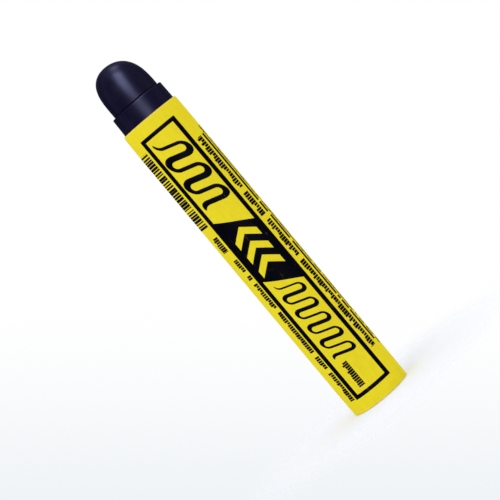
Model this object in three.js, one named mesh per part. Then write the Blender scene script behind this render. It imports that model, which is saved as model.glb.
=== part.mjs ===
// A solid paint marker: a cast stick of paint with a domed nose, in a wound paper tube with a
// printed wrap. Millimetres, +Z up from the open base of the tube to the tip of the nose. The
// origin is the centre of the base, and -Y is the front, where the print's panels are.
import * as THREE from 'three';

// Driving dimensions: the cast stick
const stickRadius = 8.73;
const collarHeight = 5.65;
const collarEdgeRadius = 0.35;
const noseHeight = 12.9;
const noseBaseRadius = 7.77;
const noseFullness = 3.35; // how late the sides draw in towards the tip: 2 is a half ellipse
const noseBluntness = 2.18; // how flat the tip is: 2 is a half ellipse
const noseFootRadius = 0.3;
const stickFootChamfer = 0.5;

// The dried film over the paint that shows
const skinThickness = 0.25;
const skinGap = 0.02;

// The tube's layers, from the stick outwards
const tubeLength = 102.1;
const runningClearance = 0.035;
const linerThickness = 0.06;
const innerPlyThickness = 0.24;
const outerPlyThickness = 0.24;
const labelThickness = 0.11;
const glueGap = 0.02;

// The rim rolled in at the base of the tube, and the disc that rests on it
const rimWidth = 1.4; // measured inwards from the tube's bore
const rimHeight = 0.6;
const discThickness = 1.5;
const discClearance = 0.06;
const discChamfer = 0.15;

// The printed wrap
const labelTrim = 0.1; // how far the wrap stops short of each end of the tube
const labelOverlap = 4.4;

// Roundness of the model
const sides = 64;
const noseSteps = 12;
const edgeSteps = 3;

// Radii of the tube's layers
const linerInner = stickRadius + runningClearance;
const linerOuter = linerInner + linerThickness;
const innerPlyInner = linerOuter + glueGap;
const innerPlyOuter = innerPlyInner + innerPlyThickness;
const outerPlyInner = innerPlyOuter + glueGap;
const outerPlyOuter = outerPlyInner + outerPlyThickness;
const labelInner = outerPlyOuter + glueGap;
const rimInner = linerInner - rimWidth;

// Heights along the axis
const discTop = rimHeight + discThickness;
const shoulderHeight = tubeLength + collarHeight;

const marker = new THREE.Group();
marker.name = 'solid_paint_marker';

function finish(colour, roughness) {
  return new THREE.MeshStandardMaterial({ color: colour, roughness, metalness: 0 });
}

function addMesh(name, geometry, material) {
  const mesh = new THREE.Mesh(geometry, material);
  mesh.name = name;
  marker.add(mesh);
}

// Turns an outline of [radius, height] points about the +Z axis.
function turned(outline) {
  const points = outline.map(([radius, height]) => new THREE.Vector2(radius, height));
  return new THREE.LatheGeometry(points, sides).rotateX(Math.PI / 2);
}

// A plain sleeve between two radii and two heights.
function sleeve(inner, outer, low, high) {
  return turned([[inner, low], [outer, low], [outer, high], [inner, high], [inner, low]]);
}

// Points of an arc about a centre, from one angle to another, in degrees.
function arc(centreRadius, centreHeight, radius, from, to) {
  const points = [];
  for (let step = 0; step <= edgeSteps; step += 1) {
    const angle = THREE.MathUtils.degToRad(from + (to - from) * step / edgeSteps);
    points.push([centreRadius + radius * Math.cos(angle), centreHeight + radius * Math.sin(angle)]);
  }
  return points;
}

// The outline of the paint that shows, from the collar's foot up to the tip on the axis. A depth
// below the outer face gives the outline of what lies under it.
function noseOutline(depth, foot) {
  const collarRadius = stickRadius - depth;
  const baseRadius = noseBaseRadius - depth;
  const shoulder = shoulderHeight - depth;
  const edge = collarEdgeRadius;
  const outline = [
    [collarRadius, foot],
    ...arc(collarRadius - edge, shoulder - edge, edge, 0, 90),
    ...arc(baseRadius + noseFootRadius, shoulder + noseFootRadius, noseFootRadius, 270, 180),
  ];
  for (let step = 1; step <= noseSteps; step += 1) {
    const angle = (Math.PI / 2) * (1 - step / noseSteps);
    const radius = step === noseSteps ? 0 : baseRadius * Math.sin(angle) ** (2 / noseBluntness);
    const rise = noseHeight * Math.cos(angle) ** (2 / noseFullness);
    if (rise > noseFootRadius) {
      outline.push([radius, shoulder + rise]);
    }
  }
  return outline;
}

// The cast stick: shank, collar, shoulder and nose in one piece.
function paintStick() {
  const depth = skinThickness + skinGap;
  const mouth = tubeLength - skinGap;
  return turned([
    [0, discTop],
    [stickRadius - stickFootChamfer, discTop],
    [stickRadius, discTop + stickFootChamfer],
    [stickRadius, mouth],
    ...noseOutline(depth, mouth),
  ]);
}

// The film over the nose, shoulder and collar: up the outside and back down the inside.
function noseSkin() {
  const outside = noseOutline(0, tubeLength);
  const inside = noseOutline(skinThickness, tubeLength).reverse();
  return turned([...inside, ...outside]);
}

function pushDisc() {
  const radius = linerInner - discClearance;
  return turned([
    [0, rimHeight],
    [radius - discChamfer, rimHeight],
    [radius, rimHeight + discChamfer],
    [radius, discTop - discChamfer],
    [radius - discChamfer, discTop],
    [0, discTop],
  ]);
}

// The outer ply with its base edge rolled in under the inner ply and the liner.
function outerPly() {
  return turned([
    [rimInner, 0],
    [outerPlyOuter, 0],
    [outerPlyOuter, tubeLength],
    [outerPlyInner, tubeLength],
    [outerPlyInner, rimHeight],
    [rimInner, rimHeight],
    [rimInner, 0],
  ]);
}

// The printed wrap: once round the tube from the back, then a flap glued over its own first edge.
function labelWrap() {
  const flapInner = labelInner + labelThickness + glueGap;
  const flapSides = Math.ceil(labelOverlap / flapInner / (2 * Math.PI / sides));
  const flapStep = labelOverlap / flapInner / flapSides;
  const at = (radius, angle) => new THREE.Vector2(radius * Math.sin(angle), -radius * Math.cos(angle));
  const inside = [];
  const outside = [];
  for (let side = 0; side < sides; side += 1) {
    const angle = Math.PI + 2 * Math.PI * side / sides;
    inside.push(at(labelInner, angle));
    outside.push(at(labelInner + labelThickness, angle));
  }
  for (let side = 0; side <= flapSides; side += 1) {
    const angle = Math.PI + flapStep * side;
    inside.push(at(flapInner, angle));
    outside.push(at(flapInner + labelThickness, angle));
  }
  const section = new THREE.Shape([...outside, ...inside.reverse()]);
  const height = tubeLength - 2 * labelTrim;
  return new THREE.ExtrudeGeometry(section, { depth: height, bevelEnabled: false, steps: 1 })
    .translate(0, 0, labelTrim);
}

const navyPaint = finish(0x17152a, 0.45);
const driedSkin = finish(0x17152a, 0.4);
const chipboard = finish(0x8f8878, 0.9);
const greaseproof = finish(0xd9cdb0, 0.5);
const kraft = finish(0xa98256, 0.85);
const printedPaper = finish(0xe9d92b, 0.55);

addMesh('paint_stick', paintStick(), navyPaint);
addMesh('nose_skin', noseSkin(), driedSkin);
addMesh('push_disc', pushDisc(), chipboard);
addMesh('tube_liner', sleeve(linerInner, linerOuter, rimHeight, tubeLength), greaseproof);
addMesh('tube_inner_ply', sleeve(innerPlyInner, innerPlyOuter, rimHeight, tubeLength), kraft);
addMesh('tube_outer_ply', outerPly(), kraft);
addMesh('label_wrap', labelWrap(), printedPaper);

export default marker;
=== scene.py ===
"""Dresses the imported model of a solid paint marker: a cast stick of paint in a wound paper tube.

Laid out as an add-on and run as a script. Lengths are metres, as in the frame, except that the
print on the wrap is laid out in millimetres: across the wrap from its front line, and up from
the base.
"""

import math

import bmesh
import bpy
from bpy.props import FloatProperty, FloatVectorProperty, IntProperty, PointerProperty
from mathutils import Matrix, Vector, noise


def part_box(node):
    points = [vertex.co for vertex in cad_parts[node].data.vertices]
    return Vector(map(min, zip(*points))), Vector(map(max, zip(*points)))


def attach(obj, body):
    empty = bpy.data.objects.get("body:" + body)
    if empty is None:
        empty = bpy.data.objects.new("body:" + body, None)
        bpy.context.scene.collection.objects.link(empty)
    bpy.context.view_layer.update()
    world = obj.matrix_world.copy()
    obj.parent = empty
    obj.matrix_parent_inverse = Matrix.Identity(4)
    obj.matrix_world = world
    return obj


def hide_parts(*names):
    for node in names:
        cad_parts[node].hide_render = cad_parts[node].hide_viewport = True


bl_info = {
    "name": "Solid Paint Marker",
    "version": (1, 0, 0),
    "blender": (4, 5, 0),
    "location": "View3D > Sidebar > Marker",
    "description": "Builds a solid paint marker: paint stick, paper tube, printed wrap and stage",
    "category": "Object",
}

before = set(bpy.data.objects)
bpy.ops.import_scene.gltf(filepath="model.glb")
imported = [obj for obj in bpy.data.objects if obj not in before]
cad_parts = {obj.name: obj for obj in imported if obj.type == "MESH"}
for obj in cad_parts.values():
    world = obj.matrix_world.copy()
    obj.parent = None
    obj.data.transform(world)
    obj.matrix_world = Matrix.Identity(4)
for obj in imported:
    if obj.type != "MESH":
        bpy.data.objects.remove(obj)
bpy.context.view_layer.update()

MM = 0.001
WELD = 1e-7  # points nearer than this are one
ROUND_STEPS = 160  # faces round the tube and the stick
SHARP_ANGLE = math.radians(38)
NOSE_STEPS = 40  # points up the side of the nose
SWELLS = 260.0  # of the uneven cast face, per metre
INWARD_BIAS = 0.5  # keeps nearly all of the uneven face inside the true one
CUT_EDGE = 0.3  # rounding of a ply's cut edges, as a share of its thickness
LEDGE_EDGE = 0.6  # rounding of the rim's upper edge, as a share of its lower ones
CREASE_TOP = 0.9  # the rim's creases stop at this share of its height
CREASE_SHARPNESS = 3  # the larger it is, the narrower the creases are
END_RINGS = (0.4, 0.9, 1.6, 2.8, 5.0, 9.0)  # where the tube's layers get points, in mm from its ends


def outer_radius(node):
    """Radius of a round CAD node."""
    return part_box(node)[1].x


def foot(node):
    """Lowest height of a CAD node."""
    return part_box(node)[0].z


def head(node):
    """Highest height of a CAD node."""
    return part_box(node)[1].z


# Properties


def length(name, default, description):
    """A length in metres that a user can set."""
    return FloatProperty(name=name, default=default, description=description, unit="LENGTH", precision=5)


def ratio(name, default, description):
    """A plain number that a user can set."""
    return FloatProperty(name=name, default=default, description=description)


def power(name, watts, description):
    """The power of a lamp that a user can set."""
    return FloatProperty(name=name, default=watts, description=description, min=0.0, unit="POWER")


def angle(name, degrees, description):
    """An angle that a user can set."""
    kind = {"subtype": "ANGLE", "unit": "ROTATION"}
    return FloatProperty(name=name, default=math.radians(degrees), description=description, **kind)


def colour(name, default, description):
    """A linear colour that a user can set."""
    kind = {"subtype": "COLOR", "size": 3, "min": 0.0, "max": 1.0}
    return FloatVectorProperty(name=name, default=default, description=description, **kind)


class StickSizes(bpy.types.PropertyGroup):
    """Sizes of the cast paint and of the dried film over it."""

    collar_edge: length("Collar edge", 0.26 * MM, "Rounding of the collar's upper edge")
    draft: length("Draft", 0.10 * MM, "How much the collar narrows towards its upper edge")
    nose_radius: length("Nose radius", 7.69 * MM, "Radius of the nose where it meets the shoulder")
    nose_height: length("Nose height", 12.9 * MM, "Height of the nose above the shoulder")
    crease: length("Crease", 0.28 * MM, "How far the nose is drawn in where it meets the shoulder")
    crease_height: length("Crease height", 0.28 * MM, "Height over which the nose is drawn in")
    crease_edge: length("Crease edge", 0.08 * MM, "Rounding of the crease")
    nose_fullness: ratio("Nose fullness", 3.35, "How late the sides draw in: 2 is a half ellipse")
    nose_bluntness: ratio("Nose bluntness", 2.18, "How flat the tip is: 2 is a half ellipse")
    film: length("Film", 0.25 * MM, "Thickness of the dried film over the paint that shows")
    film_gap: length("Film gap", 0.02 * MM, "Gap kept between the film and the paint under it")
    foot_edge: length("Foot edge", 0.5 * MM, "Rounding at the foot of the stick")
    lean: length("Lean", 0.80 * MM, "How far the tip leans to the left of the axis")
    unevenness: length("Unevenness", 0.02 * MM, "How far the cast face strays from true")


class TubeSizes(bpy.types.PropertyGroup):
    """Sizes of the tube's layers."""

    liner: length("Liner", 0.06 * MM, "Thickness of the greaseproof liner")
    inner_ply: length("Inner ply", 0.24 * MM, "Thickness of the inner kraft ply")
    outer_ply: length("Outer ply", 0.24 * MM, "Thickness of the outer kraft ply")
    rim_width: length("Rim width", 1.4 * MM, "How far the rolled rim stands in from the bore")
    rim_roll: length("Rim roll", 0.28 * MM, "Rounding of the rolled rim's edges")
    pleat_depth: length("Pleat depth", 0.14 * MM, "Depth of the creases in the rolled rim")
    press: length("Press", 0.20 * MM, "How far the outer layers are pressed in at the cut ends")
    press_reach: length("Press reach", 1.5 * MM, "How far from an end they are pressed half as far")
    pleats: IntProperty(name="Pleats", default=32, min=8, description="Creases in the rolled rim")
    disc_edge: length("Disc edge", 0.15 * MM, "Rounding of the chipboard disc's edges")
    wrap: length("Wrap", 0.11 * MM, "Thickness of the printed paper")
    glue: length("Glue", 0.02 * MM, "Thickness of the glue under the wrap and under its flap")
    overlap: length("Overlap", 4.4 * MM, "Width of the flap that is glued over the wrap's first edge")


class PrintColours(bpy.types.PropertyGroup):
    """Colours of the papers, inks and paint, as linear values."""

    yellow: colour("Yellow", (0.812, 0.667, 0.021), "Ground colour of the wrap")
    ink: colour("Ink", (0.0016, 0.0016, 0.0042), "Black ink")
    rubbed: colour("Rubbed yellow", (0.84, 0.74, 0.16), "Yellow where the wrap's ends are rubbed thin")
    paper: colour("Paper", (0.78, 0.74, 0.62), "Bare paper, where the wrap is cut")
    kraft: colour("Kraft", (0.40, 0.235, 0.11), "Kraft paper of the plies")
    greaseproof: colour("Greaseproof", (0.64, 0.54, 0.36), "Greaseproof paper of the liner")
    chipboard: colour("Chipboard", (0.27, 0.245, 0.19), "Grey chipboard of the disc")
    paint: colour("Paint", (0.0030, 0.0020, 0.0150), "The stick's paint")
    bloom: colour("Bloom", (0.0066, 0.0060, 0.0200), "The dull bloom on dried paint")


class StageSettings(bpy.types.PropertyGroup):
    """Camera and light."""

    camera_distance: length("Camera distance", 0.54, "From the camera to the marker's axis")
    elevation: angle("Elevation", 2.84, "How far the camera looks down")
    roll: angle("Roll", 39.86, "How far the photo's view is rolled from upright")
    lens: FloatProperty(name="Lens", default=137.9, description="For a 36 mm sensor", unit="CAMERA")
    aim_x: length("Aim across", -2.27 * MM, "Place across the marker that the camera faces")
    aim_z: length("Aim height", 55.28 * MM, "Height that the camera faces")
    daylight: ratio("Daylight", 0.64, "Strength of the room's light on the marker")
    key_power: power("Key power", 1.6, "Front softbox")
    top_power: power("Top power", 1.0, "Top softbox")
    gloss_power: power("Gloss power", 27.5, "Front softbox that only shows in gloss")
    gloss_slant: angle("Gloss slant", 13.0, "How far that softbox's top leans to the right")


# Shader helper

MIX_PLAIN, MIX_COVERED = 6, 7  # places of the Mix node's two colours among its inputs
MIX_RESULT = 2  # and of the mixed colour among its outputs
WHITE = (1.0, 1.0, 1.0)


class Shade:
    """A socket of a node tree, whose sums add Math nodes to that tree."""

    def __init__(self, tree, socket=None):
        self.tree = tree
        self.socket = socket

    def node(self, kind, settings=None, sockets=None, output=0):
        """Adds a node: its settings are set first, then the values or links of its sockets."""
        made = self.tree.nodes.new(kind)
        for name, value in (settings or {}).items():
            setattr(made, name, value)
        for key, value in (sockets or {}).items():
            if isinstance(value, Shade):
                self.tree.links.new(value.socket, made.inputs[key])
            else:
                made.inputs[key].default_value = value
        return Shade(self.tree, made.outputs[output] if made.outputs else None)

    def out(self, name):
        """Another output of the same node."""
        return Shade(self.tree, self.socket.node.outputs[name])

    def math(self, operation, *values, clamp=False):
        settings = {"operation": operation, "use_clamp": clamp}
        return self.node("ShaderNodeMath", settings, dict(enumerate(values)))

    def __add__(self, other):
        return self.math("ADD", self, other)

    __radd__ = __add__

    def __sub__(self, other):
        return self.math("SUBTRACT", self, other)

    def __rsub__(self, other):
        return self.math("SUBTRACT", other, self)

    def __mul__(self, other):
        return self.math("MULTIPLY", self, other)

    __rmul__ = __mul__

    def __truediv__(self, other):
        return self.math("DIVIDE", self, other)

    def __rtruediv__(self, other):
        return self.math("DIVIDE", other, self)

    def __neg__(self):
        return self.math("MULTIPLY", self, -1.0)

    def __abs__(self):
        return self.math("ABSOLUTE", self)

    def __mod__(self, other):
        return self.math("FLOORED_MODULO", self, other)

    def floor(self):
        return self.math("FLOOR", self)

    def least(self, other):
        return self.math("MINIMUM", self, other)

    def most(self, other):
        return self.math("MAXIMUM", self, other)

    def clip(self):
        """The value held between 0 and 1."""
        return self.math("ADD", self, 0.0, clamp=True)

    def above(self, level):
        """1 where the value is above the level, else 0."""
        return self.math("GREATER_THAN", self, level)

    def below(self, level):
        """1 where the value is below the level, else 0."""
        return self.math("LESS_THAN", self, level)

    def cosine(self):
        return self.math("COSINE", self)

    def root(self):
        return self.math("SQRT", self)

    def rise(self, low, high):
        """0 below low and 1 above high, with a smooth rise between."""
        return self.node(
            "ShaderNodeMapRange",
            {"interpolation_type": "SMOOTHSTEP"},
            {"Value": self, "From Min": low, "From Max": high},
        )

    def spread(self, low, high):
        """A number from 0 to 1 carried over to the range from low to high."""
        return self * (high - low) + low

    def mix(self, plain, covered):
        """The covered colour where this mask is 1, and the plain one where it is 0."""
        sockets = {0: self, MIX_PLAIN: rgba(plain), MIX_COVERED: rgba(covered)}
        return self.node("ShaderNodeMix", {"data_type": "RGBA"}, sockets, MIX_RESULT)

    def stretched(self, scale):
        """This vector with each part multiplied."""
        return self.node("ShaderNodeVectorMath", {"operation": "MULTIPLY"}, {0: self, 1: scale})

    def along(self, other):
        """How far this vector reaches along the other."""
        settings = {"operation": "DOT_PRODUCT"}
        return self.node("ShaderNodeVectorMath", settings, {0: self, 1: other}, "Value")

    def grain(self, scale, detail, roughness=0.5):
        """Noise at this place, about 0 to 1 with a middle of 0.5."""
        sockets = {"Vector": self, "Scale": scale, "Detail": detail, "Roughness": roughness}
        return self.node("ShaderNodeTexNoise", {}, sockets)

    def streaks(self, across, along, detail, roughness):
        """Noise of one coarseness across the axis and another along it, in grains per metre."""
        return self.stretched((across, across, along)).grain(1.0, detail, roughness)

    def cells(self, scale):
        """Distance to the nearest of scattered points, at this place."""
        return self.node("ShaderNodeTexVoronoi", {}, {"Vector": self, "Scale": scale}, "Distance")

    def chance(self, draw):
        """A steady random number from 0 to 1 for this number, another one for each draw."""
        pair = self.node("ShaderNodeCombineXYZ", {}, {"X": self, "Y": draw})
        settings = {"noise_dimensions": "2D"}
        return self.node("ShaderNodeTexWhiteNoise", settings, {"Vector": pair}, "Value")

    def facing(self):
        """0 where the surface faces the viewer, and 1 where it turns away at its outline."""
        return self.node("ShaderNodeLayerWeight", {}, {"Blend": 0.5}, "Facing")

    def bump(self, depth):
        """The normal of a surface raised by this value times depth."""
        return self.node("ShaderNodeBump", {}, {"Distance": depth, "Height": self}, "Normal")


def rgba(value):
    """A colour that a colour socket takes."""
    return value if isinstance(value, Shade) else (*value, 1.0)


def toned(value, factor):
    """A colour made darker or lighter, with no part above 1."""
    return [min(1.0, part * factor) for part in value]


def start_material(name):
    """A new empty material, and the place of each point of the piece as a shade."""
    material = bpy.data.materials.new(name)
    material.use_nodes = True
    material.node_tree.nodes.clear()
    place = Shade(material.node_tree).node("ShaderNodeTexCoord", output="Object")
    return material, place


def end_material(place, base, roughness, normal, gloss, gloss_tint=WHITE):
    """The surface shader and the output."""
    sockets = {
        "Base Color": base,
        "Roughness": roughness,
        "Normal": normal,
        "Specular IOR Level": gloss,
        "Specular Tint": rgba(gloss_tint),
    }
    surface = place.node("ShaderNodeBsdfPrincipled", {}, sockets)
    place.node("ShaderNodeOutputMaterial", {}, {"Surface": surface})


def wrap_coordinates(place, radius):
    """Arc from the front line towards +X, and height above the base, both in millimetres."""
    parts = place.node("ShaderNodeSeparateXYZ", {}, {0: place}, "X")
    bearing = place.math("ARCTAN2", parts, -parts.out("Y"))
    return bearing * (radius / MM), parts.out("Z") * (1 / MM)


# The print, in millimetres

WRAP_MIDDLE = (foot("label_wrap") + head("label_wrap")) / 2 / MM
PRINT_SKEW = 0.0053  # the print leans this far per millimetre of height
PRINT_OFFSET = -0.54  # how far the print's middle lies from the front line, at half height
EDGE_SOFTNESS = 0.07  # how far the ink feathers into the paper
FRAME_MIDDLE = 51.07
FRAME_HALF = (6.57, 46.89)  # half of its width and height, to the outside
FRAME_STROKE = (1.45, 1.17)  # thickness of its upright sides and of its level ones
BAND_MIDDLE = 54.1
BAND_HALF_HEIGHT = 10.65
BAND_SLOPE = 0.585  # how far the band falls per millimetre across
CHEVRON_COUNT = 3
CHEVRON_MIDDLE = 54.85
CHEVRON_PITCH = 5.0
CHEVRON_THICKNESS = 2.45
CHEVRON_SLOPE = 0.8
CHEVRON_HALF_WIDTH = 3.9
BOLD_SQUIGGLE = dict(low=70.5, high=94.0, reach=4.0, turns=3.0, widths=(1.0, 0.6), lean=0.30)
FINE_SQUIGGLE = dict(low=15.8, high=42.6, reach=3.4, turns=5.0, widths=(0.62, 0.34), lean=0.34)
SQUIGGLE_TAPER = 3.0  # a squiggle's ends taper over a turn divided by this
COLUMN = ((-11.6, 81.4), (4.2, 13.4))  # middle and half size
COLUMN_PITCH = 0.86
COLUMN_SHIFT = (-0.12, 0.12)  # how far a bar lies from the middle of its place
COLUMN_HALF_BAR = (0.17, 0.49)  # half the width of the narrowest bar and of the widest
ROWS = (  # middle line, foot, head, height across the wrap and pitch of the bars
    (-2.1, 6.6, 15.0, 2.0, 0.72),
    (-7.95, 4.6, 56.0, 1.95, 0.74),
    (-8.9, 59.2, 64.4, 3.0, 0.7),
    (8.6, 12.9, 88.9, 2.35, 0.82),
)
PANELS = (((19.5, 51.5), (7.5, 40.0)), ((-19.5, 46.0), (3.0, 34.5)))
PANEL_ROW = 1.5
PANEL_ROW_HEIGHT = 0.62 * PANEL_ROW
PANEL_PITCH = 0.5
BAR_REACH = (0.6, 1.35)  # share of the row's height that a bar fills, cut off at 1
HALF_BAR = (0.385, 0.485)  # half the width of a bar, as a share of its pitch
PAIRS_LEFT_OUT = 0.1  # share of the pairs of bars that are left out of a row
STRIPE_WIDTH = 1.15  # the bold stripe beside each panel
STRIPE_GAP = 0.15
STRIPE_SHORT = 2.5  # how far the stripe stops short of the panel's ends
STRIPE_PIECE = 0.6
STRIPE_LEFT_OUT = 0.06  # share of the stripe's pieces that are left out
COLUMN_SHIFT_DRAW, COLUMN_BAR_DRAW, STRIPE_DRAW = 3.0, 5.0, 8.0  # these keep random draws apart
REACH_STEP, BAR_STEP, PAIR_STEP = 0.5, 0.75, 0.6  # and these, added to a count, those of one row


def ink(distance):
    """1 inside an outline, where the distance to it is negative, and 0 outside it."""
    return (0.5 - distance / EDGE_SOFTNESS).clip()


def box_distance(across, up, middle, half):
    """Distance to an upright rectangle."""
    return (abs(across - middle[0]) - half[0]).most(abs(up - middle[1]) - half[1])


def frame_lines(across, up):
    """The frame round the front of the wrap."""
    middle = (0.0, FRAME_MIDDLE)
    outer = box_distance(across, up, middle, FRAME_HALF)
    opening = (FRAME_HALF[0] - FRAME_STROKE[0], FRAME_HALF[1] - FRAME_STROKE[1])
    return ink(outer.most(-box_distance(across, up, middle, opening)))


def slanted_band(across, up):
    """The slanted black band across the frame."""
    height = abs(up - BAND_MIDDLE + across * BAND_SLOPE) - BAND_HALF_HEIGHT
    return ink(height.most(abs(across) - FRAME_HALF[0] + FRAME_STROKE[0] / 2))


def chevrons(across, up):
    """Three chevrons that point at the nose, left yellow in the band."""
    half_fall = CHEVRON_SLOPE * CHEVRON_HALF_WIDTH / 2
    half_pitch = CHEVRON_PITCH / 2
    folded = up - CHEVRON_MIDDLE + abs(across) * CHEVRON_SLOPE - half_fall
    row = abs((folded + half_pitch) % CHEVRON_PITCH - half_pitch) - CHEVRON_THICKNESS / 2
    sides = abs(across) - CHEVRON_HALF_WIDTH
    ends = abs(folded) - CHEVRON_COUNT * half_pitch
    return ink(row.most(sides).most(ends))


def paint_squiggle(across, up, low, high, reach, turns, widths, lean):
    """A brushed squiggle up the wrap with round turns, thick on its way out and thin on its way back."""
    pitch = (high - low) / turns
    bend = pitch / 4
    along = up + across * lean - low
    phase = (along + across.below(0.0) * (pitch / 2)) % pitch - pitch / 2
    past = (abs(across) - (reach - bend)).most(0.0)
    middle_line = abs((past * past + phase * phase).root() - bend)
    beat = ((along - bend) * (math.tau / pitch)).cosine()
    width = beat * ((widths[0] - widths[1]) / 2) + (widths[0] + widths[1]) / 2
    from_foot = along / pitch * SQUIGGLE_TAPER
    from_head = (high - low - along) / pitch * SQUIGGLE_TAPER
    taper = from_foot.least(from_head).clip()
    return ink(middle_line - width * taper.root() + (1 - taper) * EDGE_SOFTNESS)


def bar_column(across, up):
    """A column of bars of uneven width, which stand for nothing."""
    count = (up / COLUMN_PITCH).floor()
    shift = count.chance(COLUMN_SHIFT_DRAW).spread(*COLUMN_SHIFT)
    half_width = (count + 0.5).chance(COLUMN_BAR_DRAW).spread(*COLUMN_HALF_BAR)
    bar = abs(up - (count + 0.5) * COLUMN_PITCH - shift) - half_width
    return ink(bar.most(box_distance(across, up, *COLUMN)))


def inside(across, up, middle, half):
    """1 inside an upright rectangle and 0 outside it."""
    return box_distance(across, up, middle, half).below(0.0)


def row_places(across, up):
    """The middle line, height and bar pitch of the row at each place, or noughts off the rows."""
    panels = inside(across, up, *PANELS[0]).most(inside(across, up, *PANELS[1]))
    line = ((across / PANEL_ROW).floor() * PANEL_ROW + PANEL_ROW / 2) * panels
    height = panels * PANEL_ROW_HEIGHT
    pitch = panels * PANEL_PITCH
    for middle, low, high, tall, step in ROWS:
        here = inside(across, up, (middle, (low + high) / 2), (tall / 2, (high - low) / 2))
        line = here * middle + line
        height = here * tall + height
        pitch = here * step + pitch
    return line, height, pitch


def bar_rows(across, up):
    """Rows of short bars of uneven height that run up the wrap, with gaps here and there."""
    line, height, pitch = row_places(across, up)
    count = (up / pitch).floor()
    share = (count + REACH_STEP).chance(line).spread(*BAR_REACH).least(1.0)
    bar = abs(across - line - (1 - share) * height / 2) - share * height / 2
    half_width = (count + BAR_STEP).chance(line).spread(*HALF_BAR) * pitch
    beside = abs(up - (count + 0.5) * pitch) - half_width
    pair = ((count / 2).floor() + PAIR_STEP).chance(line).above(PAIRS_LEFT_OUT)
    return ink(bar.most(beside)) * pair


def stripe_distance(across, up, middle, half):
    """Distance to the bold stripe along one side of a panel."""
    half_width = STRIPE_WIDTH / 2
    line = middle[0] - half[0] - STRIPE_GAP - half_width
    return box_distance(across, up, (line, middle[1]), (half_width, half[1] - STRIPE_SHORT))


def panel_stripes(across, up):
    """The bold stripe beside each panel of fine rows, broken here and there."""
    first, second = (stripe_distance(across, up, *panel) for panel in PANELS)
    piece = (up / STRIPE_PIECE).floor().chance(STRIPE_DRAW).above(STRIPE_LEFT_OUT)
    return ink(first.least(second)) * piece


def whole_print(arc, height):
    """Everything that is printed in black on the wrap, as one mask."""
    across = arc - PRINT_OFFSET + (height - FRAME_MIDDLE) * PRINT_SKEW
    bold = paint_squiggle(across, height, **BOLD_SQUIGGLE)
    fine = paint_squiggle(across, height, **FINE_SQUIGGLE)
    band = slanted_band(across, height) * (1 - chevrons(across, height))
    marks = frame_lines(across, height).most(band).most(bold).most(fine)
    rows = bar_rows(across, height).most(panel_stripes(across, height))
    return marks.most(rows).most(bar_column(across, height))


# Materials: arcs and heights on them are millimetres, reliefs are metres, scales are per metre

FULL_TONE = (0.3, 0.7)  # noise between these two covers the whole way from dark to light
YELLOW_MOTTLE = 0.045  # how far the yellow goes to either side of its tone
RUB_REACH = 0.5  # how far in from its ends the wrap is rubbed
RUB_EDGE = (-0.1, 0.25)  # distances beyond that over which the rubbing ends
OUTWARD_LOOK = (0.5, 0.8)  # how far a face looks outwards, from a cut edge to the printed side
SEAM_PITCH = 26.0  # height that the plies' seam climbs in one turn
SEAM_EDGE = (0.05, 0.16)  # distances from the seam over which its groove fades
SEAM_START = (0.1, 0.4)  # heights above the rim over which the groove begins
FOLD_WAVE = (0.72, 1.0)  # where the wave round the rim goes from plain paper to the painted shade of a fold
FOLD_TOP = (-0.3, 0.0)  # heights from the rim's top over which the painted shade in its folds ends
FOLD_SHADE_SHARE = 0.6  # how dark the painted shade in the folds is, as a share of the seam
PRINT_RELIEF = 0.004 * MM
KRAFT_RELIEF = 0.012 * MM
GREASEPROOF_RELIEF = 0.006 * MM
FELT_RELIEF = 0.02 * MM
PAINT_RELIEF = 0.008 * MM
GLOSS_TINT = (0.55, 0.58, 0.90)  # of the paint's gloss where it is seen from straight ahead


def printed_paper(colours, radius):
    """Yellow printed paper: solid ground, black ink and a bare paper edge where it is cut."""
    material, place = start_material("printed paper")
    arc, height = wrap_coordinates(place, radius)
    mask = whole_print(arc, height)
    fibres = place.streaks(across=900.0, along=260.0, detail=4.0, roughness=0.6)
    clouds = place.grain(scale=55.0, detail=3.0)
    tone = (clouds * 0.45 + fibres * 0.55).rise(*FULL_TONE)
    ground = tone.mix(
        toned(colours.yellow, 1 - YELLOW_MOTTLE),
        toned(colours.yellow, 1 + YELLOW_MOTTLE),
    )
    from_end = WRAP_MIDDLE - abs(height - WRAP_MIDDLE)
    rubbed = (1 - (from_end - fibres * RUB_REACH).rise(*RUB_EDGE)) * 0.5
    inked = mask * (1 - fibres.rise(0.62, 0.8) * 0.06)
    printed = inked.mix(rubbed.mix(ground, colours.rubbed), colours.ink)
    normal = place.node("ShaderNodeTexCoord", output="Normal")
    outwards = normal.along(place.stretched((1.0, 1.0, 0.0)))
    cut = 1 - (abs(outwards) / radius).rise(*OUTWARD_LOOK)
    base = cut.mix(printed, colours.paper)
    roughness = 0.52 + fibres * 0.12 - mask * 0.1
    relief = fibres * 0.7 + mask * 0.5
    end_material(place, base, roughness, relief.bump(PRINT_RELIEF), gloss=0.004)
    return material


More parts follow.
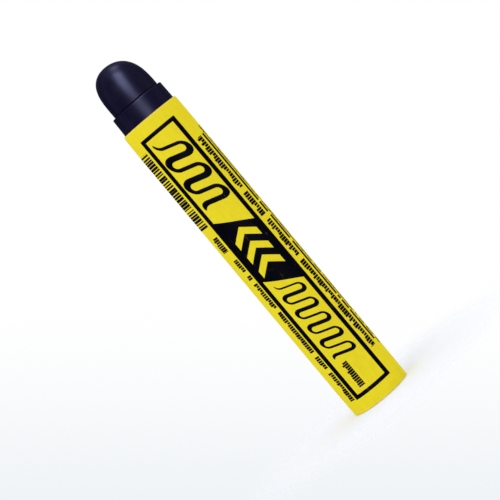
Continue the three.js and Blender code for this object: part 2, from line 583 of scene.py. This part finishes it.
def kraft_paper(colours, radius, pleats):
    """Brown kraft paper with long fibres, the seam of its winding and painted shade in the folds of its
    rim.
    """
    material, place = start_material("kraft paper")
    arc, height = wrap_coordinates(place, radius)
    fibres = place.streaks(across=1400.0, along=420.0, detail=5.0, roughness=0.65)
    clouds = place.grain(scale=140.0, detail=3.0)
    flecks = 1 - place.cells(scale=1100.0).rise(0.08, 0.2)
    tone = (fibres * 0.7 + clouds * 0.3).rise(*FULL_TONE)
    brown = colours.kraft
    flecked = (flecks * 0.5).mix(tone.mix(toned(brown, 0.72), toned(brown, 1.22)), toned(brown, 0.45))
    girth = math.tau * radius / MM
    seam = abs((height + arc * (SEAM_PITCH / girth)) % SEAM_PITCH - SEAM_PITCH / 2)
    above_rim = height - foot("push_disc") / MM
    groove = (1 - seam.rise(*SEAM_EDGE)) * above_rim.rise(*SEAM_START)
    # Painted shade: the rim's folds are darkened where shade would fall in them
    creases = (arc * (pleats * MM / radius)).cosine().rise(*FOLD_WAVE)
    fold_shade = creases * (1 - above_rim.rise(*FOLD_TOP))
    base = groove.most(fold_shade * FOLD_SHADE_SHARE).mix(flecked, toned(brown, 0.35))
    relief = fibres - groove * 6.0
    end_material(place, base, 0.82 + fibres * 0.1, relief.bump(KRAFT_RELIEF), gloss=0.2)
    return material


def greaseproof_paper(colours):
    """Dense, slightly waxy cream paper with streaks of oil from the paint."""
    material, place = start_material("greaseproof paper")
    streaks = place.streaks(across=260.0, along=40.0, detail=4.0, roughness=0.6)
    oiled = place.grain(scale=90.0, detail=3.0).rise(0.45, 0.7)
    cream = colours.greaseproof
    dry = streaks.rise(*FULL_TONE).mix(toned(cream, 0.86), toned(cream, 1.1))
    base = (oiled * 0.5).mix(dry, toned(cream, 0.6))
    normal = streaks.bump(GREASEPROOF_RELIEF)
    end_material(place, base, 0.5 - oiled * 0.15, normal, gloss=0.4)
    return material


def chipboard_sheet(colours):
    """Grey recycled board with flecks and a felted edge."""
    material, place = start_material("chipboard")
    felt = place.streaks(across=700.0, along=2600.0, detail=5.0, roughness=0.7)
    clouds = place.grain(scale=260.0, detail=3.0)
    clean = place.stretched((1.0, 2.4, 1.0)).cells(scale=520.0).rise(0.08, 0.22)
    tone = (felt * 0.6 + clouds * 0.4).rise(*FULL_TONE)
    grey = colours.chipboard
    board = clean.mix(toned(grey, 0.4), tone.mix(toned(grey, 0.7), toned(grey, 1.25)))
    stain = clouds.rise(0.55, 0.75) * 0.6
    base = stain.mix(board, colours.paint)
    end_material(place, base, 0.9 - stain * 0.3, felt.bump(FELT_RELIEF), gloss=0.15)
    return material


def solid_paint(colours, name, dryness):
    """Waxy solid paint. Dryness, from 0 to 1, adds the dull bloom of its dried film."""
    material, place = start_material(name)
    mottle = place.grain(scale=170.0, detail=4.0, roughness=0.6)
    rub = place.streaks(across=420.0, along=130.0, detail=4.0, roughness=0.65)
    pits = 1 - place.cells(scale=520.0).rise(0.04, 0.1)
    bloom = (mottle * 0.6 + rub * 0.4).rise(0.42, 0.74) * (0.35 + 0.4 * dryness)
    base = bloom.mix(colours.paint, colours.bloom)
    matt_edge = place.facing().rise(0.35, 0.8) * 0.45
    roughness = 0.29 + 0.03 * dryness + bloom * 0.10 + pits * 0.06 + matt_edge
    relief = mottle * 1.2 + rub * 0.5 - pits * 0.9
    normal = relief.bump(PAINT_RELIEF)
    end_material(place, base, roughness, normal, gloss=0.06, gloss_tint=GLOSS_TINT)
    return material


# Mesh helpers


def chain(bm, points, closed=False):
    """Edges through points given as (radius, height)."""
    corners = [bm.verts.new((radius, 0.0, height)) for radius, height in points]
    for pair in zip(corners, corners[1:]):
        bm.edges.new(pair)
    if closed:
        bm.edges.new((corners[-1], corners[0]))
    return corners


def round_corners(bm, corners, radius, segments=4):
    """Rounds corners of an outline before it is turned."""
    bmesh.ops.bevel(
        bm,
        geom=corners,
        offset=radius,
        offset_type="OFFSET",
        segments=segments,
        profile=0.5,
        affect="VERTICES",
        material=-1,
    )


def carry(bm, geom, steps, use_merge=False):
    """Carries edges on round the tube's axis by a number of faces, and gives the last of them."""
    made = bmesh.ops.spin(
        bm,
        geom=geom,
        cent=(0.0, 0.0, 0.0),
        axis=(0.0, 0.0, 1.0),
        dvec=(0.0, 0.0, 0.0),
        angle=math.tau * steps / ROUND_STEPS,
        steps=steps,
        use_merge=use_merge,
        use_duplicate=False,
    )
    return made["geom_last"]


def turn(bm):
    """Turns the outline once about the tube's axis, and closes the seam and the poles."""
    carry(bm, bm.verts[:] + bm.edges[:], ROUND_STEPS, use_merge=True)
    bmesh.ops.remove_doubles(bm, verts=bm.verts[:], dist=WELD)
    bmesh.ops.recalc_face_normals(bm, faces=bm.faces[:])


def stray(bm, amount, above):
    """Moves each point above a height along its normal by slow noise, as cast paint isn't quite true."""
    bm.normal_update()
    for vert in bm.verts:
        if vert.co.z > above:
            swell = noise.noise(vert.co * SWELLS) - INWARD_BIAS
            vert.co += vert.normal * swell * amount


def lean_over(bm, sizes):
    """Leans the nose to the left of the axis, more and more towards its tip, as it was cast."""
    shoulder = head("nose_skin") - sizes.nose_height
    for vert in bm.verts:
        rise = max(0.0, vert.co.z - shoulder) / sizes.nose_height
        vert.co.x -= sizes.lean * rise**2


def ring_ends(bm):
    """Cuts rings of points round a layer of the tube, near the tube's ends."""
    low, high = foot("tube_outer_ply"), head("tube_outer_ply")
    for distance in END_RINGS:
        for height in (low + distance * MM, high - distance * MM):
            bmesh.ops.bisect_plane(
                bm,
                geom=bm.verts[:] + bm.edges[:] + bm.faces[:],
                dist=WELD,
                plane_co=(0.0, 0.0, height),
                plane_no=(0.0, 0.0, 1.0),
            )


def press_ends(bm, sizes):
    """Presses the outer ply thin at the tube's cut ends, and the wrap on it inwards by as much."""
    low, high = foot("tube_outer_ply"), head("tube_outer_ply")
    outer = outer_radius("tube_outer_ply")
    for vert in bm.verts:
        reach = math.hypot(vert.co.x, vert.co.y)
        share = max(0.0, min(1.0, 1.0 - (outer - reach) / sizes.outer_ply))
        from_end = min(vert.co.z - low, high - vert.co.z)
        inwards = share * sizes.press / (1.0 + from_end / sizes.press_reach)
        vert.co.x -= vert.co.x / reach * inwards
        vert.co.y -= vert.co.y / reach * inwards


def make_object(bm, name, material):
    """Puts a finished shape and its material in the scene."""
    mesh = bpy.data.meshes.new(name)
    bm.to_mesh(mesh)
    bm.free()
    mesh.materials.append(material)
    made = bpy.data.objects.new(name, mesh)
    bpy.context.scene.collection.objects.link(made)
    return made


def lay_out(bm, name, material, node, body):
    """Makes the object, and lets it stand for its CAD node on that node's body."""
    for edge in bm.edges:
        edge.smooth = len(edge.link_faces) == 2 and edge.calc_face_angle(0.0) < SHARP_ANGLE
    for face in bm.faces:
        face.smooth = True
    piece = make_object(bm, name, material)
    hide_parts(node)
    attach(piece, body)


# The pieces, made by an operator each


def nose_points(sizes, depth, foot_height):
    """The outline of the paint that shows, from the collar's foot to the tip, depth below its face."""
    collar = outer_radius("nose_skin") - depth
    base = sizes.nose_radius - depth
    tip = head("nose_skin") - depth
    shoulder = tip - sizes.nose_height
    points = [
        (collar, foot_height),
        (collar - sizes.draft, shoulder - 2 * sizes.collar_edge),
        (collar - sizes.draft, shoulder),
        (base - sizes.crease, shoulder),
        (base, shoulder + sizes.crease_height),
        (base, shoulder + 2 * sizes.crease_height),
    ]
    for step in range(NOSE_STEPS - 1, -1, -1):
        slant = math.pi / 2 * step / NOSE_STEPS
        radius = base * math.sin(slant) ** (2 / sizes.nose_bluntness)
        rise = sizes.nose_height * math.cos(slant) ** (2 / sizes.nose_fullness)
        points.append((radius, shoulder + rise))
    return points


class MARKER_OT_dried_film(bpy.types.Operator):
    """Makes the dried film over the nose, the shoulder and the collar"""

    bl_idname = "marker.dried_film"
    bl_label = "Dried film"

    def execute(self, context):
        sizes = context.scene.marker_stick
        bm = bmesh.new()
        corners = chain(bm, nose_points(sizes, 0.0, foot("nose_skin")))
        round_corners(bm, [corners[2]], sizes.collar_edge)
        round_corners(bm, corners[3:5], sizes.crease_edge)
        turn(bm)
        lean_over(bm, sizes)
        stray(bm, sizes.unevenness, foot("nose_skin") + sizes.collar_edge)
        bmesh.ops.solidify(bm, geom=bm.faces[:], thickness=sizes.film)
        material = solid_paint(context.scene.marker_colours, "dried paint", 1.0)
        lay_out(bm, "dried_film", material, "nose_skin", "stick")
        return {"FINISHED"}


class MARKER_OT_stick_casting(bpy.types.Operator):
    """Makes the cast paint stick under the film and inside the tube"""

    bl_idname = "marker.stick_casting"
    bl_label = "Stick casting"

    def execute(self, context):
        sizes = context.scene.marker_stick
        radius = outer_radius("paint_stick")
        low = foot("paint_stick")
        mouth = foot("nose_skin") - sizes.film_gap
        depth = sizes.film + sizes.film_gap
        shank = [(0.0, low), (radius, low), (radius, mouth)]
        bm = bmesh.new()
        corners = chain(bm, shank + nose_points(sizes, depth, mouth))
        round_corners(bm, [corners[1]], sizes.foot_edge)
        turn(bm)
        lean_over(bm, sizes)
        material = solid_paint(context.scene.marker_colours, "solid paint", 0.0)
        lay_out(bm, "stick_casting", material, "paint_stick", "stick")
        return {"FINISHED"}


class MARKER_OT_follower_disc(bpy.types.Operator):
    """Makes the chipboard disc that the stick stands on"""

    bl_idname = "marker.follower_disc"
    bl_label = "Follower disc"

    def execute(self, context):
        sizes = context.scene.marker_tube
        radius = outer_radius("push_disc")
        low, high = foot("push_disc"), head("push_disc")
        bm = bmesh.new()
        corners = chain(bm, [(0.0, low), (radius, low), (radius, high), (0.0, high)])
        round_corners(bm, corners[1:3], sizes.disc_edge)
        turn(bm)
        material = chipboard_sheet(context.scene.marker_colours)
        lay_out(bm, "follower_disc", material, "push_disc", "stick")
        return {"FINISHED"}


def sleeve_outline(bm, inner, outer, low, high):
    """The outline of a plain sleeve, and its two upper corners."""
    corners = chain(bm, [(inner, low), (outer, low), (outer, high), (inner, high)], closed=True)
    return corners[2:]


class MARKER_OT_bore_liner(bpy.types.Operator):
    """Makes the greaseproof liner of the bore"""

    bl_idname = "marker.bore_liner"
    bl_label = "Bore liner"

    def execute(self, context):
        sizes = context.scene.marker_tube
        radius = outer_radius("tube_liner")
        bm = bmesh.new()
        sleeve_outline(bm, radius - sizes.liner, radius, foot("tube_liner"), head("tube_liner"))
        turn(bm)
        material = greaseproof_paper(context.scene.marker_colours)
        lay_out(bm, "bore_liner", material, "tube_liner", "tube")
        return {"FINISHED"}


class MARKER_OT_kraft_plies(bpy.types.Operator):
    """Makes the two kraft plies, the outer one with its base edge rolled in"""

    bl_idname = "marker.kraft_plies"
    bl_label = "Kraft plies"

    def execute(self, context):
        sizes = context.scene.marker_tube
        radius = outer_radius("tube_outer_ply")
        material = kraft_paper(context.scene.marker_colours, radius, sizes.pleats)
        self.inner_ply(sizes, material)
        self.outer_ply(sizes, material)
        return {"FINISHED"}

    @staticmethod
    def inner_ply(sizes, material):
        radius = outer_radius("tube_inner_ply")
        inner = radius - sizes.inner_ply
        bm = bmesh.new()
        top = sleeve_outline(bm, inner, radius, foot("tube_inner_ply"), head("tube_inner_ply"))
        round_corners(bm, top, sizes.inner_ply * CUT_EDGE, 2)
        turn(bm)
        lay_out(bm, "kraft_inner", material, "tube_inner_ply", "tube")

    def outer_ply(self, sizes, material):
        outer = outer_radius("tube_outer_ply")
        inner = outer - sizes.outer_ply
        bore = outer_radius("tube_liner") - sizes.liner
        rim = bore - sizes.rim_width
        low, high = foot("tube_outer_ply"), head("tube_outer_ply")
        ledge = foot("push_disc")
        points = [(rim, low), (outer, low), (outer, high), (inner, high), (inner, ledge), (rim, ledge)]
        bm = bmesh.new()
        corners = chain(bm, points, closed=True)
        round_corners(bm, corners[0:2], sizes.rim_roll)
        round_corners(bm, corners[2:4], sizes.outer_ply * CUT_EDGE, 2)
        round_corners(bm, [corners[5]], sizes.rim_roll * LEDGE_EDGE, 3)
        turn(bm)
        ring_ends(bm)
        press_ends(bm, sizes)
        self.crease(bm, sizes, rim, bore, ledge)
        lay_out(bm, "kraft_outer", material, "tube_outer_ply", "tube")

    @staticmethod
    def crease(bm, sizes, rim, bore, ledge):
        """Presses the rolled rim's creases into its underside and its inner edge."""
        for vert in bm.verts:
            reach = math.hypot(vert.co.x, vert.co.y)
            if vert.co.z > ledge * CREASE_TOP or reach > bore:
                continue
            bearing = math.atan2(vert.co.y, vert.co.x)
            fold = max(0.0, math.cos(bearing * sizes.pleats)) ** CREASE_SHARPNESS
            share = min(1.0, (bore - reach) / (bore - rim))
            vert.co.z += sizes.pleat_depth * fold * share


# Where the faces of the unrolled wrap lie on its map: left, bottom, width and height

PRINTED_FACE = (0.005, 0.015, 0.9, 0.97)
GLUED_FACE = (0.925, 0.015, 0.07, 0.97)
UPPER_EDGE = (0.005, 0.989, 0.9, 0.007)
LOWER_EDGE = (0.005, 0.004, 0.9, 0.007)
FIRST_EDGE = (0.908, 0.015, 0.004, 0.97)
LAST_EDGE = (0.916, 0.015, 0.004, 0.97)


class MARKER_OT_printed_wrap(bpy.types.Operator):
    """Makes the printed wrap, once round the tube and glued over its own first edge"""

    bl_idname = "marker.printed_wrap"
    bl_label = "Printed wrap"

    def execute(self, context):
        sizes = context.scene.marker_tube
        radius = outer_radius("label_wrap")
        bm = bmesh.new()
        low = bm.verts.new((0.0, radius, foot("label_wrap")))
        high = bm.verts.new((0.0, radius, head("label_wrap")))
        last = carry(bm, [low, high, bm.edges.new((low, high))], ROUND_STEPS - 1)
        last = carry(bm, last, 1)
        self.lift(last, sizes.wrap + sizes.glue)
        carry(bm, last, round(ROUND_STEPS * sizes.overlap / (math.tau * radius)))
        bmesh.ops.recalc_face_normals(bm, faces=bm.faces[:])
        self.face_outwards(bm)
        ring_ends(bm)
        bmesh.ops.solidify(bm, geom=bm.faces[:], thickness=sizes.wrap)
        self.unroll(bm, sizes, radius)
        press_ends(bm, sizes)
        material = printed_paper(context.scene.marker_colours, radius)
        lay_out(bm, "printed_wrap", material, "label_wrap", "tube")
        return {"FINISHED"}

    @staticmethod
    def lift(geom, height):
        """Moves the sheet's last edge outwards, over what it is glued to."""
        for item in geom:
            if isinstance(item, bmesh.types.BMVert):
                outwards = Vector((item.co.x, item.co.y, 0.0)).normalized()
                item.co += outwards * height

    @staticmethod
    def face_outwards(bm):
        """Turns the sheet's faces away from the axis before it gets its thickness."""
        face = bm.faces[:][0]
        if face.normal.dot(face.calc_center_median()) < 0.0:
            bmesh.ops.reverse_faces(bm, faces=bm.faces[:])

    @staticmethod
    def unroll(bm, sizes, radius):
        """Unrolls the sheet onto a flat map for baking, with a large printed face."""
        layer = bm.loops.layers.uv.new("OFBake")
        whole = math.tau + sizes.overlap / radius
        low, high = foot("label_wrap"), head("label_wrap")
        for face in bm.faces:
            middle = face.calc_center_median()
            outwards = Vector((middle.x, middle.y, 0.0))
            phase = math.atan2(-middle.x, middle.y) % math.tau
            if outwards.length > radius + sizes.glue / 2 and phase < math.pi:
                phase += math.tau
            facing = face.normal.dot(outwards.normalized())
            for loop in face.loops:
                corner = Vector((loop.vert.co.x, loop.vert.co.y, 0.0))
                ahead = math.atan2(outwards.cross(corner).z, outwards.dot(corner))
                across = (phase + ahead) / whole
                up = (loop.vert.co.z - low) / (high - low)
                depth = 0.5 + (corner.length - outwards.length) / sizes.wrap
                if abs(face.normal.z) > 0.5:
                    patch, place = (UPPER_EDGE if face.normal.z > 0.0 else LOWER_EDGE), (across, depth)
                elif abs(facing) > 0.5:
                    patch, place = (PRINTED_FACE if facing > 0.0 else GLUED_FACE), (across, up)
                else:
                    patch, place = (FIRST_EDGE if phase < math.pi else LAST_EDGE), (depth, up)
                loop[layer].uv = (patch[0] + patch[2] * place[0], patch[1] + patch[3] * place[1])


# The stage, in metres. Softboxes are given by their place from the marker's middle, width and height

KEY_BOX = ((-0.35, -0.65, 0.42), 0.5, 0.6)
TOP_BOX = ((0.0, 0.0, 0.8), 0.6, 0.6)
GLOSS_FRONT_BOX = ((0.10, -0.47, 0.34), 0.31, 0.64)
GLOSS_CROWN_BOX = ((0.17, -0.08, 0.6), 0.2, 0.7)
CROWN_SHARE = 0.23  # power of the crown's softbox, as a share of the front one's
CROWN_TINT = (0.72, 0.73, 1.0)  # does the work of the paint's gloss tint, which fades at a flat angle
SIDE_LIGHT = 0.48  # added to the room's light at its two sides
ROOM_FALL = (0.06, 0.19)  # how far down a line of sight points where the room's tint begins and ends
ROOM_TINT = (0.863, 0.892, 0.92)
FLOOR_RADIUS = 0.45
FLOOR_SIDES = 96
FLOOR_FADE = (0.011, 0.06)  # distances from the marker's axis over which the floor fades
FLOOR_DROP = 0.03 * MM  # keeps the floor clear of the tube's rim
FLOOR_COLOUR = (0.80, 0.82, 0.90)
FLOOR_GLOW_COLOUR = (0.95, 0.97, 0.98)
FLOOR_GLOW = 0.12  # lifts the floor towards white where it is seen, with no light on the marker
FLAG_HALF_WIDTH = 0.9
FLAG_DISTANCE = 0.3
SENSOR_WIDTH = 36.0  # millimetres
CLIP_RANGE = (0.01, 20.0)


def seen(shade):
    """1 for what the camera sees, straight or in gloss or through glass, and 0 for light."""
    ray = shade.node("ShaderNodeLightPath", output="Is Camera Ray")
    return ray.most(ray.out("Is Glossy Ray")).most(ray.out("Is Transmission Ray"))


class MARKER_OT_stage(bpy.types.Operator):
    """Makes the pale floor, the room, the softboxes, the flag and the camera"""

    bl_idname = "marker.stage"
    bl_label = "Stage"

    def execute(self, context):
        stage = context.scene.marker_stage
        middle = Vector((0.0, 0.0, head("nose_skin") / 2))
        self.room(context.scene, stage)
        self.floor()
        self.lamps(stage, middle)
        self.flag(middle)
        self.camera(context.scene, stage)
        context.scene.view_settings.view_transform = "Standard"
        return {"FINISHED"}

    @staticmethod
    def room(scene, stage):
        """A white room for the camera and for gloss, and a plain level of light on the marker."""
        scene.world = bpy.data.worlds.new("room")
        scene.world.use_nodes = True
        tree = scene.world.node_tree
        tree.nodes.clear()
        shade = Shade(tree)
        look = shade.node("ShaderNodeTexCoord", output="Object")
        sides = abs(look.node("ShaderNodeSeparateXYZ", {}, {0: look}, "X"))
        level = sides * SIDE_LIGHT + stage.daylight
        strength = level + seen(shade) * (1.0 - level)
        down = Vector((-math.sin(stage.roll), 0.0, -math.cos(stage.roll)))
        tint = look.along(down).rise(*ROOM_FALL).mix(WHITE, ROOM_TINT)
        light = shade.node("ShaderNodeBackground", {}, {"Color": tint, "Strength": strength})
        shade.node("ShaderNodeOutputWorld", {}, {"Surface": light})

    def lamps(self, stage, middle):
        """Two softboxes that light the marker, and two that only show in its gloss."""
        key = self.softbox("key", middle, KEY_BOX, stage.key_power)
        top = self.softbox("top", middle, TOP_BOX, stage.top_power)
        for lamp in (key, top):
            lamp.visible_glossy = False
        front = self.softbox("gloss_front", middle, GLOSS_FRONT_BOX, stage.gloss_power)
        front.matrix_world @= Matrix.Rotation(-stage.gloss_slant, 4, "Z")
        crown = self.softbox("gloss_crown", middle, GLOSS_CROWN_BOX, stage.gloss_power * CROWN_SHARE)
        crown.data.color = CROWN_TINT
        for lamp in (front, crown):
            lamp.visible_diffuse = False

    @staticmethod
    def floor():
        """A pale floor that fades into the room, so that no horizon shows."""
        material, place = start_material("pale floor")
        reach = place.node("ShaderNodeVectorMath", {"operation": "LENGTH"}, {0: place}, "Value")
        from_below = place.node("ShaderNodeNewGeometry", output="Backfacing")
        fade = reach.rise(*FLOOR_FADE).most(from_below)
        ground = place.node("ShaderNodeBsdfDiffuse", {}, {"Color": rgba(FLOOR_COLOUR)})
        glow = {"Color": rgba(FLOOR_GLOW_COLOUR), "Strength": seen(place) * FLOOR_GLOW}
        glowing = place.node("ShaderNodeEmission", {}, glow)
        lit = place.node("ShaderNodeAddShader", {}, {0: ground, 1: glowing})
        clear = place.node("ShaderNodeBsdfTransparent")
        surface = place.node("ShaderNodeMixShader", {}, {0: fade, 1: lit, 2: clear})
        place.node("ShaderNodeOutputMaterial", {}, {"Surface": surface})
        bm = bmesh.new()
        bmesh.ops.create_circle(
            bm,
            cap_ends=True,
            segments=FLOOR_SIDES,
            radius=FLOOR_RADIUS,
            matrix=Matrix.Translation((0.0, 0.0, -FLOOR_DROP)),
        )
        floor = make_object(bm, "floor", material)

    @staticmethod
    def flag(middle):
        """A black flag behind the marker, seen only in gloss, that keeps dark paint's edges dark."""
        material, place = start_material("black flag")
        black = place.node("ShaderNodeEmission", {}, {"Strength": 0.0})
        place.node("ShaderNodeOutputMaterial", {}, {"Surface": black})
        bm = bmesh.new()
        bmesh.ops.create_grid(bm, x_segments=1, y_segments=1, size=FLAG_HALF_WIDTH)
        bmesh.ops.rotate(bm, verts=bm.verts[:], matrix=Matrix.Rotation(math.pi / 2, 3, "X"))
        behind = middle + Vector((0.0, FLAG_DISTANCE, 0.0))
        bmesh.ops.translate(bm, verts=bm.verts[:], vec=behind)
        flag = make_object(bm, "flag", material)
        flag.visible_camera = False
        flag.visible_diffuse = False
        flag.visible_shadow = False
        flag.visible_transmission = False

    @staticmethod
    def softbox(name, middle, box, watts):
        """An area lamp that faces the marker, with its width level."""
        place, width, height = box
        data = bpy.data.lights.new(name, "AREA")
        data.shape = "RECTANGLE"
        data.size, data.size_y = width, height
        data.energy = watts
        lamp = bpy.data.objects.new(name, data)
        lamp.visible_camera = False
        bpy.context.scene.collection.objects.link(lamp)
        back = Vector(place).normalized()
        side = (Vector((1.0, 0.0, 0.0)) - back * back.x).normalized()
        turned = Matrix((side, back.cross(side), back)).transposed().to_4x4()
        lamp.matrix_world = Matrix.Translation(middle + Vector(place)) @ turned
        return lamp

    @staticmethod
    def camera(scene, stage):
        """The photo's view: nearly level with the marker, square to it, and rolled."""
        data = bpy.data.cameras.new("camera")
        data.lens = stage.lens
        data.sensor_width = SENSOR_WIDTH
        data.clip_start, data.clip_end = CLIP_RANGE
        camera = bpy.data.objects.new("camera", data)
        scene.collection.objects.link(camera)
        facing = Matrix.Rotation(math.pi / 2 - stage.elevation, 4, "X")
        roll = Matrix.Rotation(-stage.roll, 4, "Z")
        aim = Matrix.Translation((stage.aim_x, 0.0, stage.aim_z))
        camera.matrix_world = aim @ facing @ roll @ Matrix.Translation((0.0, 0.0, stage.camera_distance))
        scene.camera = camera


PIECES = (
    MARKER_OT_stick_casting,
    MARKER_OT_dried_film,
    MARKER_OT_follower_disc,
    MARKER_OT_bore_liner,
    MARKER_OT_kraft_plies,
    MARKER_OT_printed_wrap,
    MARKER_OT_stage,
)


class MARKER_PT_sidebar(bpy.types.Panel):
    """Lists the marker's pieces"""

    bl_idname = "MARKER_PT_sidebar"
    bl_label = "Solid paint marker"
    bl_space_type = "VIEW_3D"
    bl_region_type = "UI"
    bl_category = "Marker"

    def draw(self, context):
        for operator in PIECES:
            self.layout.operator(operator.bl_idname)


GROUPS = {
    "marker_stick": StickSizes,
    "marker_tube": TubeSizes,
    "marker_colours": PrintColours,
    "marker_stage": StageSettings,
}


def register():
    for group in GROUPS.values():
        bpy.utils.register_class(group)
    for operator in PIECES:
        bpy.utils.register_class(operator)
    bpy.utils.register_class(MARKER_PT_sidebar)
    for name, group in GROUPS.items():
        setattr(bpy.types.Scene, name, PointerProperty(type=group))


def unregister():
    for name in GROUPS:
        delattr(bpy.types.Scene, name)
    bpy.utils.unregister_class(MARKER_PT_sidebar)
    for operator in reversed(PIECES):
        bpy.utils.unregister_class(operator)
    for group in reversed(GROUPS.values()):
        bpy.utils.unregister_class(group)


def main():
    register()
    bpy.ops.marker.stick_casting()
    bpy.ops.marker.dried_film()
    bpy.ops.marker.follower_disc()
    bpy.ops.marker.bore_liner()
    bpy.ops.marker.kraft_plies()
    bpy.ops.marker.printed_wrap()
    bpy.ops.marker.stage()


if __name__ == "__main__":
    main()
